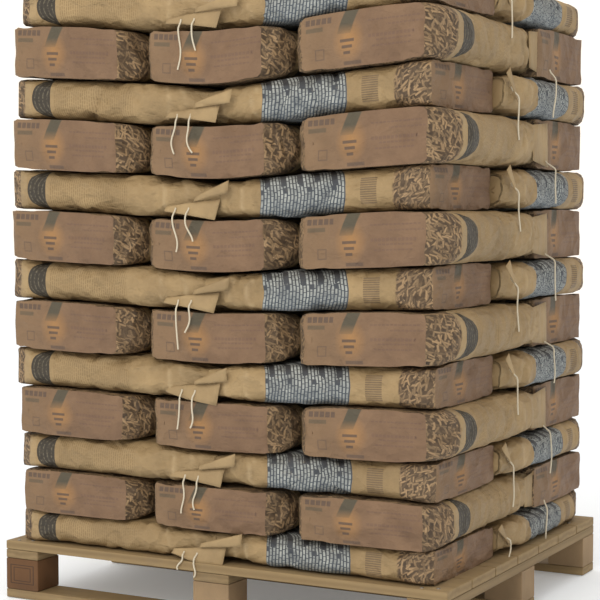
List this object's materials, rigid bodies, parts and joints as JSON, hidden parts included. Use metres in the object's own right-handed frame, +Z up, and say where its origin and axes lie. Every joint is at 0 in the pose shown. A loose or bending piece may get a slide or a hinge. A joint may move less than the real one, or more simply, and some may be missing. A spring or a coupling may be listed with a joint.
{
  "type": "pallet of sacks",
  "caption": "Loaded four-way wooden block pallet: paper sacks of wood pellets lie flat in bonded layers, block bottoms outward and stitched mouths inward.",
  "frame": {"origin": "middle of the pallet's footprint, on the floor", "axes": "+X to the right along the pallet's 1200 mm side, +Y from the front to the back, +Z up"},
  "size_m": [1.2, 1, 1.519],
  "materials": {
    "sack_paper": "printed kraft paper",
    "board_wood": "rough sawn",
    "block_wood": "rough sawn"
  },
  "bodies": {
    "root": {"skid_front": "board_wood", "block_front_left": "block_wood", "block_front_middle": "block_wood", "block_front_right": "block_wood", "skid_middle": "board_wood", "block_middle_left": "block_wood", "block_middle_middle": "block_wood", "block_middle_right": "block_wood", "skid_back": "board_wood", "block_back_left": "block_wood", "block_back_middle": "block_wood", "block_back_right": "block_wood", "stringer_left": "board_wood", "stringer_middle": "board_wood", "stringer_right": "board_wood", "deck_board_1": "board_wood", "deck_board_2": "board_wood", "deck_board_3": "board_wood", "deck_board_4": "board_wood", "deck_board_5": "board_wood", "deck_board_6": "board_wood", "deck_board_7": "board_wood", "sack_layer_01": "sack_paper", "sack_layer_02": "sack_paper", "sack_layer_03": "sack_paper", "sack_layer_04": "sack_paper", "sack_layer_05": "sack_paper", "sack_layer_06": "sack_paper", "sack_layer_07": "sack_paper", "sack_layer_08": "sack_paper", "sack_layer_09": "sack_paper", "sack_layer_10": "sack_paper", "sack_layer_11": "sack_paper", "sack_layer_12": "sack_paper", "sack_layer_13": "sack_paper"}
  },
  "joints": []
}
